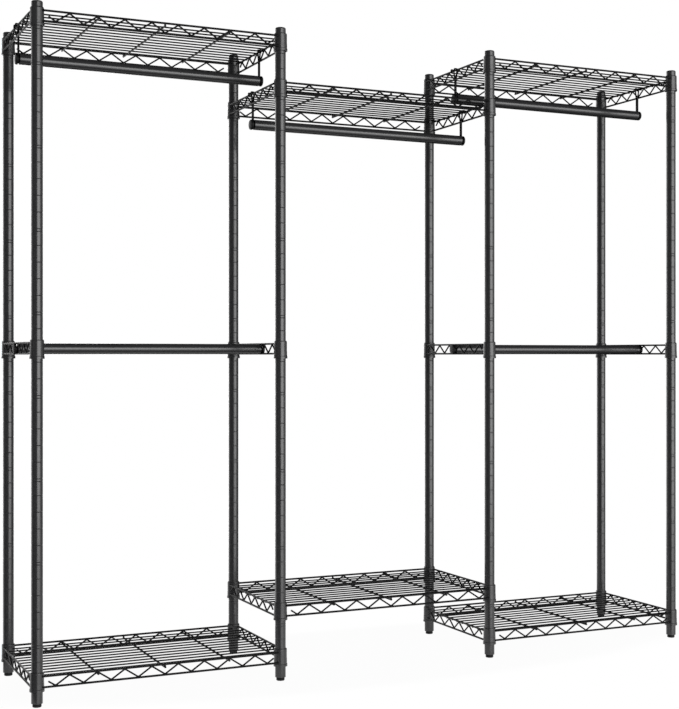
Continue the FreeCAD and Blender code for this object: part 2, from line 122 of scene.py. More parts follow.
class WardrobeWireSizes(bpy.types.PropertyGroup):
    """Sizes of the wire shelves, rails and rod hangers.
    The round wires are a little thicker than the square bars that stand for them in the frame."""

    collar_radius: length_mm("Collar radius", 19.8, "Outside radius of a collar")
    collar_bore: length_mm("Collar bore", 18.6, "Inside radius of a collar")
    collar_lip: length_mm("Collar lip", 7, "Height of the lip round the bottom of a collar")
    collar_flare: length_mm("Collar flare", 1.2, "Lip of a collar outside its wall")
    collar_band: length_mm("Collar band", 23, "Height of the lower band of a collar")
    collar_step: length_mm("Collar step", 0.35, "Upper part of a collar inside its lower band")
    wire_offset: length_mm("Wire offset", 15.5, "Post centre to the middle of a truss")
    wire_end: length_mm("Wire end", 13, "Post centre to the cut end of a truss wire")
    frame_wire: length_mm("Frame wire", 6.1, "Top and bottom wires of a truss")
    zigzag_wire: length_mm("Zigzag wire", 5.0, "Zigzag between the wires of a truss")
    deck_wire: length_mm("Deck wire", 4.5, "Thin wires of a deck")
    rib_wire: length_mm("Rib wire", 6.0, "Cross ribs under a deck")
    hanger_wire: length_mm("Hanger wire", 5.0, "Bent wire that carries a top rod")
    bend: length_mm("Bend", 8, "Wire taken up by each side of a bend")
    front_pitch: length_mm("Front pitch", 79.2, "One wave of a shelf's front and back zigzags")
    side_pitch: length_mm("Side pitch", 65.7, "One wave of the zigzags at the sides and in the rails")


class WardrobeFinish(bpy.types.PropertyGroup):
    """Colours of the coats and the plastic."""

    tube_coat: colour_of("Tube coat", "#2b2b2c", "Satin black powder coat of the posts and rods")
    # The wires' coat is the tubes' coat painted darker: painted shade on the wires
    wire_coat_with_painted_shade: colour_of("Wire coat", "#0a0a0b", "Satin black powder coat of the wires")
    fittings: colour_of("Fittings", "#272728", "Moulded plastic of the caps and sleeves")
    matt_parts: colour_of("Matt plastic", "#0b0b0c", "Moulded black plastic of the feet and the rods' ends")
    stud_steel: colour_of("Stud steel", "#6a6b6d", "Plated steel of the feet's studs")


class WardrobeStage(bpy.types.PropertyGroup):
    """Camera and light of the studio."""

    camera: FloatVectorProperty(name="Camera", description="Place of the camera", subtype="TRANSLATION",
                                unit="LENGTH", default=(-1.8985, -3.9362, 0.9784))
    turn: FloatProperty(name="Turn", description="Camera's turn to the right of straight at the back",
                        default=radians(24.849), subtype="ANGLE")
    lens: FloatProperty(name="Lens", description="Focal length on a 36 mm high sensor, in millimetres",
                        default=68.136)
    key: FloatProperty(name="Key light", description="Radiance of the main softbox", default=4.7)
    low: FloatProperty(name="Low light", description="Radiance of the softbox under the main one",
                       default=0.6)
    top: FloatProperty(name="Top light", description="Radiance of the softbox overhead", default=0.9)
    fill: FloatProperty(name="Fill light", description="Radiance of the softbox on the left", default=5.0)
    back: FloatProperty(name="Back light", description="Radiance of the softbox behind", default=4.0)
    ambient: FloatProperty(name="Ambient", description="Light from all round", default=0.4)


# Places that the frame gives
def centre_of(node):
    """Middle of a node's box."""
    low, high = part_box(node)
    return (low + high) / 2


def post_place(row, index):
    """Middle of a post at floor level, counted from the left."""
    middle = centre_of(f"post_{row}_{index}")
    return Vector((middle.x, middle.y, 0))


HALF_DEPTH = post_place("back", 1).y
HALF_BAY = (post_place("front", 2).x - post_place("front", 1).x) / 2

# Collar: its ends above and below its level, and its coat's place among a piece's materials
COLLAR_TOP = 15 * MM
COLLAR_BOTTOM = -37 * MM
COLLAR_COAT = 1


def level_of(node):
    """Height of the level that a shelf or rail is set to: its collars reach a fixed way below it."""
    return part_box(node)[0].z - COLLAR_BOTTOM


def bay_corners(x=0):
    """Places of the four posts of a bay with its middle at x."""
    return [Matrix.Translation((x + side_x * HALF_BAY, side_y * HALF_DEPTH, 0))
            for side_x in (-1, 1) for side_y in (-1, 1)]


# Forms
def tidy(form, crisp):
    """Close the seams of a form, turn its faces outwards and shade it smooth but for its crisp edges."""
    bmesh.ops.remove_doubles(form, verts=form.verts, dist=MERGE)
    bmesh.ops.recalc_face_normals(form, faces=form.faces)
    for face in form.faces:
        face.smooth = True
    for edge in form.edges:
        edge.smooth = edge.calc_face_angle(0) < crisp
    return form


def turned(outline, steps, ring=False, sweep=FULL_TURN, crisp=CRISP_FITTING):
    """A form turned about Z from (radius, height) points; a ring's outline closes on itself."""
    form = bmesh.new()
    verts = [form.verts.new((radius, 0, height)) for radius, height in outline]
    ends = verts[1:] + verts[:1] if ring else verts[1:]
    edges = [form.edges.new(pair) for pair in zip(verts, ends)]
    whole = sweep == FULL_TURN
    bmesh.ops.spin(form, geom=verts + edges, cent=(0, 0, 0), axis=(0, 0, 1), dvec=(0, 0, 0), angle=sweep,
                   steps=steps, use_merge=whole)
    bmesh.ops.remove_doubles(form, verts=form.verts, dist=MERGE)
    if not whole:
        bmesh.ops.holes_fill(form, edges=[edge for edge in form.edges if edge.is_boundary], sides=0)
    return tidy(form, crisp)


def soften(form, radius, low, high, reach=0):
    """Round the sharp edges of a turned form between two heights and outside a radius."""
    chosen = []
    for edge in form.edges:
        inside = all(low <= vert.co.z <= high and hypot(vert.co.x, vert.co.y) >= reach
                     for vert in edge.verts)
        if inside and edge.calc_face_angle(0) > CRISP_FITTING:
            chosen.append(edge)
    bmesh.ops.bevel(form, geom=chosen, offset=radius, affect="EDGES", segments=EDGE_SEGMENTS, profile=0.5,
                    material=-1)
    return tidy(form, CRISP_FITTING)


def stamp(target, source, places):
    """Copy a form into another at each of several places."""
    pattern = bpy.data.meshes.new("pattern")
    source.to_mesh(pattern)
    for place in places:
        copy = pattern.copy()
        copy.transform(place)
        target.from_mesh(copy)
        bpy.data.meshes.remove(copy)
    bpy.data.meshes.remove(pattern)
    source.free()
    return target


def bent(points, bend):
    """Control points of a wire through corners: each inner corner gets a point just before and after it."""
    path = [Vector(points[0])]
    for before, corner, after in zip(points, points[1:], points[2:]):
        corner = Vector(corner)
        path.append(corner + (Vector(before) - corner).normalized() * bend)
        path.append(corner)
        path.append(corner + (Vector(after) - corner).normalized() * bend)
    path.append(Vector(points[-1]))
    return path


def wires(runs, diameter):
    """Round wires of one thickness: a run of two points is straight, a longer one is a smooth bent wire."""
    curve = bpy.data.curves.new("wires", "CURVE")
    curve.dimensions = "3D"
    curve.bevel_depth = diameter / 2
    curve.bevel_resolution = WIRE_ROUNDNESS
    curve.use_fill_caps = True
    curve.resolution_u = BEND_STEPS
    for run in runs:
        straight = len(run) == 2
        spline = curve.splines.new("POLY" if straight else "NURBS")
        spline.points.add(len(run) - 1)
        for point, place in zip(spline.points, run):
            point.co = (*place, 1)
        if not straight:
            spline.order_u = WIRE_ORDER
            spline.use_endpoint_u = True
    carrier = bpy.data.objects.new("wires", curve)
    mesh = bpy.data.meshes.new_from_object(carrier)
    form = bmesh.new()
    form.from_mesh(mesh)
    bpy.data.objects.remove(carrier)
    bpy.data.curves.remove(curve)
    bpy.data.meshes.remove(mesh)
    return tidy(form, CRISP_WIRE)


def add_piece(name, form, finishes, body, node):
    """Make a form a shaded piece that rides on a body and stands for a node."""
    mesh = bpy.data.meshes.new(name)
    form.to_mesh(mesh)
    form.free()
    for finish in finishes:
        mesh.materials.append(finish)
    piece = bpy.data.objects.new(name, mesh)
    bpy.context.scene.collection.objects.link(piece)
    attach(piece, body)
    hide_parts(node)
    return piece


# Finishes
def add_node(tree, kind, inputs, **settings):
    """Add a shader node: settings are its own options, inputs are values or sockets to link from."""
    node = tree.nodes.new(kind)
    for key, value in settings.items():
        setattr(node, key, value)
    for key, value in inputs.items():
        if isinstance(value, bpy.types.NodeSocket):
            tree.links.new(value, node.inputs[key])
        else:
            node.inputs[key].default_value = value
    return node


def new_finish(name):
    """An empty material and its node tree."""
    finish = bpy.data.materials.new(name)
    finish.use_nodes = True
    finish.node_tree.nodes.clear()
    return finish, finish.node_tree


# Octaves of the drift of tone and of the grain, and the swing of roughness over the grain
DRIFT_DETAIL = 3.0
GRAIN_DETAIL = 2.0
GLOSS_SWING = 0.05


def speckled(name, colour, roughness, specular, grain, grain_height, mottle, contrast, metallic=0.0):
    """A coat or moulding with fine grain and a slow drift of tone; grain and mottle are sizes in metres."""
    finish, tree = new_finish(name)
    place = add_node(tree, "ShaderNodeTexCoord", {}).outputs["Object"]
    drift = add_node(tree, "ShaderNodeTexNoise", {"Vector": place, "Scale": 1 / mottle,
                                                  "Detail": DRIFT_DETAIL})
    grains = add_node(tree, "ShaderNodeTexNoise", {"Vector": place, "Scale": 1 / grain,
                                                   "Detail": GRAIN_DETAIL})
    shade = add_node(tree, "ShaderNodeMix", {"Factor": drift.outputs["Fac"]}, data_type="RGBA")
    shade.inputs["A"].default_value = (*[part * (1 - contrast) for part in colour], 1)
    shade.inputs["B"].default_value = (*[part * (1 + contrast) for part in colour], 1)
    gloss = add_node(tree, "ShaderNodeMapRange", {"Value": grains.outputs["Fac"],
                                                  "To Min": roughness - GLOSS_SWING,
                                                  "To Max": roughness + GLOSS_SWING})
    relief = add_node(tree, "ShaderNodeBump", {"Height": grains.outputs["Fac"], "Distance": grain_height,
                                               "Strength": 1.0})
    shader = add_node(tree, "ShaderNodeBsdfPrincipled", {
        "Base Color": shade.outputs["Result"], "Roughness": gloss.outputs["Result"],
        "Normal": relief.outputs["Normal"], "Specular IOR Level": specular, "Metallic": metallic})
    add_node(tree, "ShaderNodeOutputMaterial", {"Surface": shader.outputs["BSDF"]})
    return finish


class Finishes:
    """The materials, made once and shared by the pieces."""

    made = {}

    @classmethod
    def get(cls, name, make):
        if name not in cls.made:
            cls.made[name] = make(name)
        return cls.made[name]


def tube_coat():
    """Powder coat baked on smooth steel tube: satin black, with a soft orange-peel skin.
    The peel is about 1.5 mm across on the real coat, and is drawn 4 mm across so that it shows."""
    colour = bpy.context.scene.wardrobe_finish.tube_coat
    return Finishes.get("satin_powder_coat_tube", lambda name: speckled(
        name, colour, roughness=0.25, specular=0.5, grain=4 * MM, grain_height=0.012 * MM, mottle=70 * MM,
        contrast=0.10))


def wire_coat_with_painted_shade():
    """The same coat on drawn wire, less glossy than on the tubes; its colour is painted darker than the
    tubes' as painted shade, so that the wires look shaded.
    Its peel has the same real size, and is drawn 3 mm across so that it shows."""
    colour = bpy.context.scene.wardrobe_finish.wire_coat_with_painted_shade
    return Finishes.get("satin_powder_coat_wire", lambda name: speckled(
        name, colour, roughness=0.45, specular=0.1, grain=3 * MM, grain_height=0.02 * MM, mottle=40 * MM,
        contrast=0.14))


def satin_plastic():
    """Polyamide moulded in a polished tool: satin black that goes with the coat, with a faint flow of tone.
    Its grain is about 0.3 mm on the real moulding, and is drawn 2 mm across so that it shows."""
    colour = bpy.context.scene.wardrobe_finish.fittings
    return Finishes.get("moulded_satin_plastic", lambda name: speckled(
        name, colour, roughness=0.32, specular=0.45, grain=2 * MM, grain_height=0.012 * MM, mottle=25 * MM,
        contrast=0.12))


def matt_plastic():
    """Polyethylene moulded in a spark-eroded tool: matt black with an even fine grain.
    The grain is about 0.3 mm on the real moulding, and is drawn 1.5 mm across so that it shows."""
    colour = bpy.context.scene.wardrobe_finish.matt_parts
    return Finishes.get("moulded_matt_plastic", lambda name: speckled(
        name, colour, roughness=0.55, specular=0.2, grain=1.5 * MM, grain_height=0.04 * MM, mottle=25 * MM,
        contrast=0.12))


def stud_steel():
    """Zinc-plated steel thread: grey metal, slightly dulled, with a drift of tone from the plating bath.
    The plating's grain is too fine to see, and is drawn 1 mm across so that it shows."""
    colour = bpy.context.scene.wardrobe_finish.stud_steel
    return Finishes.get("zinc_plated_steel", lambda name: speckled(
        name, colour, roughness=0.38, specular=0.5, grain=1 * MM, grain_height=0.01 * MM, mottle=12 * MM,
        contrast=0.15, metallic=1.0))


# Post: a second groove marks every fifth level, from the third one up
MARKER_EVERY = 5
FIRST_MARKER = 2


def groove_heights(sizes):
    """Heights of a post's grooves above the floor."""
    heights = []
    for step in range(sizes.levels + 1):
        height = sizes.first_level + step * sizes.level_pitch
        if step % MARKER_EVERY == FIRST_MARKER:
            heights.append(height - sizes.marker_gap)
        heights.append(height)
    return heights


class WARDROBE_OT_posts(bpy.types.Operator):
    """Turn the eight post tubes with their level grooves"""

    bl_idname = "wardrobe.posts"
    bl_label = "Posts"

    def execute(self, context):
        sizes = context.scene.wardrobe_posts
        for row, index in POSTS:
            node = f"post_{row}_{index}"
            low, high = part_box(node)
            radius = (high.x - low.x) / 2
            bore = radius - sizes.wall
            outline = [(bore, low.z), (radius, low.z)]
            for height in groove_heights(sizes):
                outline.append((radius, height - sizes.groove_width / 2))
                outline.append((radius - sizes.groove_depth, height))
                outline.append((radius, height + sizes.groove_width / 2))
            outline += [(radius, high.z), (bore, high.z)]
            form = turned(outline, TUBE_STEPS, ring=True, crisp=CRISP_GROOVE)
            bmesh.ops.translate(form, verts=form.verts, vec=post_place(row, index))
            add_piece(f"grooved_{node}", form, [tube_coat()], MAIN_BODY, node)
        return {"FINISHED"}


# Cap: its seat above the post, the rise of its top and the lead at the end of its plug
CAP_SEAT = 0.2 * MM
CAP_DOME = 0.6 * MM
CAP_LEAD = 1 * MM
CAP_LEAD_HEIGHT = 2 * MM


class WARDROBE_OT_caps(bpy.types.Operator):
    """Turn the rounded caps that plug the tops of the posts"""

    bl_idname = "wardrobe.caps"
    bl_label = "Post caps"

    def execute(self, context):
        sizes = context.scene.wardrobe_posts
        low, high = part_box("post_caps")
        post_low, post_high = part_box("post_front_1")
        radius = (post_high.x - post_low.x) / 2
        seat = post_high.z + CAP_SEAT
        outline = [(0, low.z), (sizes.cap_plug - CAP_LEAD, low.z), (sizes.cap_plug, low.z + CAP_LEAD_HEIGHT),
                   (sizes.cap_plug, seat), (radius, seat), (radius, high.z - CAP_DOME), (0, high.z)]
        cap = soften(turned(outline, TUBE_STEPS), sizes.cap_round, high.z - 2 * CAP_DOME, high.z,
                     radius - RIM_REACH)
        form = stamp(bmesh.new(), cap, [Matrix.Translation(post_place(row, index)) for row, index in POSTS])
        add_piece("rounded_caps", form, [satin_plastic()], MAIN_BODY, "post_caps")
        return {"FINISHED"}


# Foot: clearance under the post, rim round its hollow sole, reach of the sole's rounding, and waist
FOOT_CLEARANCE = 0.2 * MM
SOLE_HOLLOW = 0.8 * MM
SOLE_RIM = 4 * MM
SOLE_RIM_EDGE = 3.4 * MM
SOLE_REACH = 0.1 * MM
FOOT_WAIST = 0.7 * MM
WAIST_LOW = 3.2 * MM
WAIST_HIGH = 2.5 * MM

# Stud: core inside its thread, lead at its top, ridge of the thread, and start of the steel over the foot
STUD_CORE = 0.7 * MM
STUD_LEAD = 1 * MM
RIDGE_DEPTH = 0.8 * MM
RIDGE_START = 0.5 * MM
RIDGE_SHARE = 0.9
STEEL_START = 0.05 * MM


def thread(radius, depth, low, high, pitch):
    """A helical ridge round Z."""
    form = bmesh.new()
    root = radius - depth
    verts = [form.verts.new((root, 0, low)), form.verts.new((radius, 0, low + pitch / 2)),
             form.verts.new((root, 0, low + pitch * RIDGE_SHARE))]
    edges = [form.edges.new((verts[side - 1], verts[side])) for side in range(len(verts))]
    turns = int((high - low) / pitch) - 1
    steps = turns * THREAD_STEPS
    bmesh.ops.spin(form, geom=verts + edges, cent=(0, 0, 0), axis=(0, 0, 1),
                   dvec=(0, 0, pitch / THREAD_STEPS), angle=turns * FULL_TURN, steps=steps)
    bmesh.ops.holes_fill(form, edges=[edge for edge in form.edges if edge.is_boundary], sides=0)
    return tidy(form, CRISP_FITTING)


class WARDROBE_OT_feet(bpy.types.Operator):
    """Turn the levelling feet with their threaded studs, and finish the inserts they screw into"""

    bl_idname = "wardrobe.feet"
    bl_label = "Levelling feet"

    def execute(self, context):
        sizes = context.scene.wardrobe_posts
        for row, index in POSTS:
            node = f"foot_{row}_{index}"
            low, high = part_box(node)
            radius = (high.x - low.x) / 2
            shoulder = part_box(f"post_{row}_{index}")[0].z - FOOT_CLEARANCE
            core = sizes.stud - STUD_CORE
            waist = radius - FOOT_WAIST
            hollow = low.z + SOLE_HOLLOW
            lead = high.z - STUD_LEAD
            outline = [(0, hollow), (radius - SOLE_RIM, hollow), (radius - SOLE_RIM_EDGE, low.z),
                       (radius, low.z), (radius, shoulder - WAIST_LOW), (waist, shoulder - WAIST_HIGH),
                       (waist, shoulder), (core, shoulder), (core, lead), (core - STUD_LEAD, high.z),
                       (0, high.z)]
            form = turned(outline, FITTING_STEPS)
            soften(form, sizes.foot_round, low.z, low.z + SOLE_REACH, radius - SOLE_REACH)
            ridge = thread(sizes.stud, RIDGE_DEPTH, shoulder + RIDGE_START, lead, sizes.thread_pitch)
            stamp(form, ridge, HERE)
            for face in form.faces:
                face.material_index = int(face.calc_center_median().z > shoulder + STEEL_START)
            bmesh.ops.translate(form, verts=form.verts, vec=post_place(row, index))
            add_piece(f"levelling_{node}", form, [matt_plastic(), stud_steel()], node, node)
        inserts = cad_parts["foot_inserts"].data
        inserts.materials.clear()
        inserts.materials.append(matt_plastic())
        return {"FINISHED"}


# Sleeve: its taper towards the top and the bevel there
SLEEVE_TAPER = 0.3 * MM
SLEEVE_TOP = 0.8 * MM
SLEEVE_BEVEL = 0.4 * MM


class WARDROBE_OT_sleeves(bpy.types.Operator):
    """Turn the halves of the split sleeves that lock the collars to the posts"""

    bl_idname = "wardrobe.sleeves"
    bl_label = "Split sleeves"

    def execute(self, context):
        sizes = context.scene.wardrobe_posts
        gap = atan2(sizes.sleeve_slot / 2, sizes.sleeve_bore)
        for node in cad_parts:
            if not node.startswith("sleeves_"):
                continue
            low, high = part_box(node)
            outline = [(sizes.sleeve_bore, low.z), (sizes.sleeve_radius, low.z),
                       (sizes.sleeve_radius - SLEEVE_TAPER, high.z - SLEEVE_BEVEL),
                       (sizes.sleeve_radius - SLEEVE_TOP, high.z), (sizes.sleeve_bore, high.z)]
            half = turned(outline, FITTING_STEPS // 2, ring=True, sweep=pi - 2 * gap)
            places = []
            for spot in bay_corners(centre_of(node).x):
                for turn in (gap, pi + gap):
                    places.append(spot @ Matrix.Rotation(turn, 4, "Z"))
            form = stamp(bmesh.new(), half, places)
            add_piece(f"split_{node}", form, [satin_plastic()], MAIN_BODY, node)
        return {"FINISHED"}


# Collar: the slope from its lip to its wall, the edge of its band, and (inset, drop) points of its shoulder
LIP_EDGE = 0.6 * MM
LIP_RUN = 0.8 * MM
LIP_ROOT = 0.2 * MM
BAND_EDGE = 0.2 * MM
SHOULDER = ((0, 2.4 * MM), (0, 1.8 * MM), (0.25 * MM, 0.6 * MM), (0.75 * MM, 0))


def collar(sizes):
    """A collar about Z: a rounded shoulder, a slightly wider lower band and a lip."""
    wall = sizes.collar_radius
    upper = wall - sizes.collar_step
    lip_top = COLLAR_BOTTOM + sizes.collar_lip
    band_top = COLLAR_BOTTOM + sizes.collar_band
    outline = [(sizes.collar_bore, COLLAR_BOTTOM), (wall + sizes.collar_flare, COLLAR_BOTTOM),
               (wall + sizes.collar_flare, lip_top - LIP_EDGE), (wall + LIP_ROOT, lip_top + LIP_RUN),
               (wall, band_top - BAND_EDGE), (upper, band_top)]
    for inset, drop in SHOULDER:
        outline.append((upper - inset, COLLAR_TOP - drop))
    outline.append((sizes.collar_bore, COLLAR_TOP))
    form = turned(outline, FITTING_STEPS, ring=True)
    for face in form.faces:
        face.material_index = COLLAR_COAT
    return form


# Zigzag: share of a bend's height that its curve cuts off, and of a half wave left past its last bend
BEND_CUT = 0.25
FREE_END = 0.5


def zigzag(reach, pitch, low, high, bend):
    """A zigzag's control points along X: a low bend in the middle, then a high and a low one by turns.
    It ends halfway to the next bend, or on the collars a reach away where they are nearer."""
    half_pitch = pitch / 2
    slope = atan2(high - low, half_pitch)
    lift = bend * sin(slope) * BEND_CUT
    levels = (low - lift, high + lift)
    bends = int(reach / half_pitch)
    rest = min(reach / half_pitch - bends, FREE_END)
    end = (bends + rest) * half_pitch
    end_level = levels[bends % 2] * (1 - rest) + levels[(bends + 1) % 2] * rest
    points = [(-end, 0, end_level)]
    for index in range(-bends, bends + 1):
        points.append((index * half_pitch, 0, levels[index % 2]))
    points.append((end, 0, end_level))
    return bent(points, bend)


# Wire shelf about the middle of its bay, with its level at zero
RISE = 6 * MM
DROP = 30.2 * MM
DECK_WIRES = 12
DECK_MARGIN = 31.6 * MM
DECK_Z = RISE - 3.75 * MM
COLLAR_BITE = 9.5 * MM
RIBS = 3
RIB_MARGIN = 169 * MM
RIB_Z = RISE - 8.2 * MM
RIB_OVERHANG = 3.2 * MM


def truss(sizes, rise, pitch, span, place):
    """Runs of a truss between two posts: its two straight wires, and its zigzag."""
    reach = span / 2 - sizes.wire_end
    straight = []
    for height in (rise, rise - DROP):
        straight.append([place @ Vector((-reach, 0, height)), place @ Vector((reach, 0, height))])
    half = sizes.frame_wire / 2
    wave = zigzag(reach, pitch, rise - DROP + half, rise - half, sizes.bend)
    return straight, [place @ point for point in wave]


def shelf_form(sizes):
    """One wire shelf: collars, four trusses, deck wires and ribs."""
    front = HALF_DEPTH + sizes.wire_offset
    side_plane = HALF_BAY + sizes.wire_offset
    quarter = Matrix.Rotation(QUARTER_TURN, 4, "Z")
    frame_runs = []
    zigzag_runs = []
    for side in (-1, 1):
        along = Matrix.Translation((0, side * front, 0))
        across = Matrix.Translation((side * side_plane, 0, 0)) @ quarter
        for place, span, pitch in ((along, 2 * HALF_BAY, sizes.front_pitch),
                                   (across, 2 * HALF_DEPTH, sizes.side_pitch)):
            straight, wave = truss(sizes, RISE, pitch, span, place)
            frame_runs += straight
            zigzag_runs.append(wave)
    deck_runs = []
    for index in range(DECK_WIRES):
        y = (front - DECK_MARGIN) * (2 * index / (DECK_WIRES - 1) - 1)
        reach = HALF_BAY - COLLAR_BITE if index in (0, DECK_WIRES - 1) else side_plane
        deck_runs.append([(-reach, y, DECK_Z), (reach, y, DECK_Z)])
    rib_runs = []
    tip = front + RIB_OVERHANG
    for index in range(RIBS):
        x = (HALF_BAY - RIB_MARGIN) * (2 * index / (RIBS - 1) - 1)
        rib_runs.append([(x, -tip, RIB_Z), (x, tip, RIB_Z)])
        for y in (-front, front):
            rib_runs.append([(x, y, RIB_Z), (x, y, RISE)])
    form = bmesh.new()
    for runs, diameter in ((frame_runs, sizes.frame_wire), (zigzag_runs, sizes.zigzag_wire),
                           (deck_runs, sizes.deck_wire), (rib_runs, sizes.rib_wire)):
        stamp(form, wires(runs, diameter), HERE)
    return stamp(form, collar(sizes), bay_corners())


class WARDROBE_OT_shelves(bpy.types.Operator):
    """Bend and weld the six wire shelves"""

    bl_idname = "wardrobe.shelves"
    bl_label = "Wire shelves"

    def execute(self, context):
        sizes = context.scene.wardrobe_wires
        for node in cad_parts:
            if node.startswith("shelf_"):
                place = Matrix.Translation((centre_of(node).x, 0, level_of(node)))
                form = stamp(bmesh.new(), shelf_form(sizes), [place])
                add_piece(f"wire_{node}", form, [wire_coat_with_painted_shade(), tube_coat()], MAIN_BODY, node)
        return {"FINISHED"}


# Side rail about its pair of posts, with its level at zero and its truss on the -X side
RAIL_RISE = 7.8 * MM
RAIL_BAYS = (("left", 1), ("right", 3))


class WARDROBE_OT_rails(bpy.types.Operator):
    """Bend and weld the four truss rails that carry the middle rods"""

    bl_idname = "wardrobe.rails"
    bl_label = "Side rails"

    def execute(self, context):
        sizes = context.scene.wardrobe_wires
        plane = Matrix.Translation((-sizes.wire_offset, 0, 0)) @ Matrix.Rotation(QUARTER_TURN, 4, "Z")
        pair = [Matrix.Translation((0, y, 0)) for y in (-HALF_DEPTH, HALF_DEPTH)]
        for bay, first_post in RAIL_BAYS:
            for end in (0, 1):
                node = f"rail_{bay}_{end + 1}"
                straight, wave = truss(sizes, RAIL_RISE, sizes.side_pitch, 2 * HALF_DEPTH, plane)
                rail = stamp(bmesh.new(), wires(straight, sizes.frame_wire), HERE)
                stamp(rail, wires([wave], sizes.zigzag_wire), HERE)
                stamp(rail, collar(sizes), pair)
                spot = Matrix.Translation((post_place("front", first_post + end).x, 0, level_of(node)))
                form = stamp(bmesh.new(), rail, [spot @ Matrix.Rotation(end * pi, 4, "Z")])
                add_piece(f"truss_{node}", form, [wire_coat_with_painted_shade(), tube_coat()], MAIN_BODY, node)
        return {"FINISHED"}


# Rod: wall and cut edge of its tube
ROD_WALL = 1.2 * MM
ROD_EDGE = 0.4 * MM
ROD_EDGE_LENGTH = 0.5 * MM

# Rod end: plug in the tube, neck for the hanger or rail, and flange with its domed face and rounded back
PLUG_GAP = 0.3 * MM
PLUG_LENGTH = 16 * MM
PLUG_LEAD = 1 * MM
NECK_RADIUS = 7 * MM
FLANGE = 7 * MM
FLANGE_DOME = 0.4 * MM
FACE_ROUND = 2.6 * MM
FACE_REACH = 0.5 * MM
BACK_ROUND = 0.8 * MM
BACK_REACH = 0.1 * MM


class WARDROBE_OT_rods(bpy.types.Operator):
    """Turn the five hanging rods and the flanged pieces in their ends"""

    bl_idname = "wardrobe.rods"
    bl_label = "Hanging rods"

    def execute(self, context):
        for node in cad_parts:
            if not node.startswith("rod_") or node.startswith("rod_ends_"):
                continue
            name = node.removeprefix("rod_")
            low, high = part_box(node)
            ends_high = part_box(f"rod_ends_{name}")[1]
            middle = (low + high) / 2
            half = (high.x - low.x) / 2
            radius = (high.z - low.z) / 2
            bore = radius - ROD_WALL
            edge = radius - ROD_EDGE
            edge_x = half - ROD_EDGE_LENGTH
            tube = turned([(bore, -half), (edge, -half), (radius, -edge_x), (radius, edge_x), (edge, half),
                           (bore, half)], TUBE_STEPS, ring=True)
            lay = Matrix.Rotation(QUARTER_TURN, 4, "Y")
            form = stamp(bmesh.new(), tube, [Matrix.Translation(middle) @ lay])
            add_piece(f"hanging_{node}", form, [tube_coat()], MAIN_BODY, node)
            plug = bore - PLUG_GAP
            face = ends_high.x - high.x
            back = face - FLANGE
            end = turned([(0, -PLUG_LENGTH), (plug - PLUG_LEAD, -PLUG_LENGTH),
                          (plug, PLUG_LEAD - PLUG_LENGTH), (plug, 0), (NECK_RADIUS, 0), (NECK_RADIUS, back),
                          (radius, back), (radius, face - FLANGE_DOME), (0, face)], TUBE_STEPS)
            soften(end, FACE_ROUND, face - FACE_REACH, face, radius - RIM_REACH)
            soften(end, BACK_ROUND, back - BACK_REACH, back + BACK_REACH, radius - RIM_REACH)
            places = []
            for side in (-1, 1):
                flip = Matrix.Rotation(side * QUARTER_TURN, 4, "Y")
                places.append(Matrix.Translation(middle + Vector((side * half, 0, 0))) @ flip)
            form = stamp(bmesh.new(), end, places)
            add_piece(f"flanged_rod_ends_{name}", form, [matt_plastic()], MAIN_BODY, f"rod_ends_{name}")
        return {"FINISHED"}


# Hanger: half widths of its hooks, legs and stem, drops of its tips and fork below the wires, and bend
HOOK_HALF = 5 * MM
LEG_HALF = 11 * MM
STEM_HALF = 3.8 * MM
TIP_DROP = 3.5 * MM
FORK_DROP = 5 * MM
HANGER_BEND = 4 * MM

# Hanger's ring: six corners of an octagon, open at the top, and the height of the stem's end in radii
RING_RADIUS = 9.8 * MM
RING_CORNERS = 6
RING_STEP = FULL_TURN / 8
STEM_END = 1.5


def hanger_form(sizes, rod_z):
    """One bent wire for a left side: X goes inwards from the shelf's side wire, with its level at zero.
    It hooks over the wire twice, closes to a stem and goes round the neck of the rod's end."""
    wire = sizes.hanger_wire
    hook_z = RISE + sizes.frame_wire / 2 + wire / 2
    ring_z = rod_z + RING_RADIUS
    leg = bent([(-HOOK_HALF, LEG_HALF, RISE - TIP_DROP), (-HOOK_HALF, LEG_HALF, hook_z),
                (HOOK_HALF, LEG_HALF, hook_z), (HOOK_HALF, STEM_HALF, RISE - DROP - FORK_DROP),
                (HOOK_HALF, STEM_HALF, rod_z + RING_RADIUS * STEM_END)], HANGER_BEND)
    corner = RING_RADIUS / cos(RING_STEP / 2)
    loop = [Vector((HOOK_HALF, STEM_HALF, ring_z))]
    for index in range(RING_CORNERS):
        angle = RING_STEP / 2 - index * RING_STEP
        loop.append(Vector((HOOK_HALF, corner * cos(angle), rod_z + corner * sin(angle))))
    loop.append(Vector((HOOK_HALF, -STEM_HALF, ring_z)))
    other_leg = [Vector((point.x, -point.y, point.z)) for point in reversed(leg)]
    return wires([leg + loop + other_leg], wire)


class WARDROBE_OT_hangers(bpy.types.Operator):
    """Bend the wire hangers that carry the top rods"""

    bl_idname = "wardrobe.hangers"
    bl_label = "Rod hangers"

    def execute(self, context):
        sizes = context.scene.wardrobe_wires
        side_plane = HALF_BAY + sizes.wire_offset
        for bay in BAYS:
            level = level_of(f"shelf_{bay}_top")
            rod = centre_of(f"rod_{bay}_top")
            places = []
            for side, turn in ((-1, 0), (1, pi)):
                spot = Matrix.Translation((rod.x + side * side_plane, 0, level))
                places.append(spot @ Matrix.Rotation(turn, 4, "Z"))
            form = stamp(bmesh.new(), hanger_form(sizes, rod.z - level), places)
            add_piece(f"bent_hangers_{bay}", form, [wire_coat_with_painted_shade()], MAIN_BODY, f"hangers_{bay}")
        return {"FINISHED"}


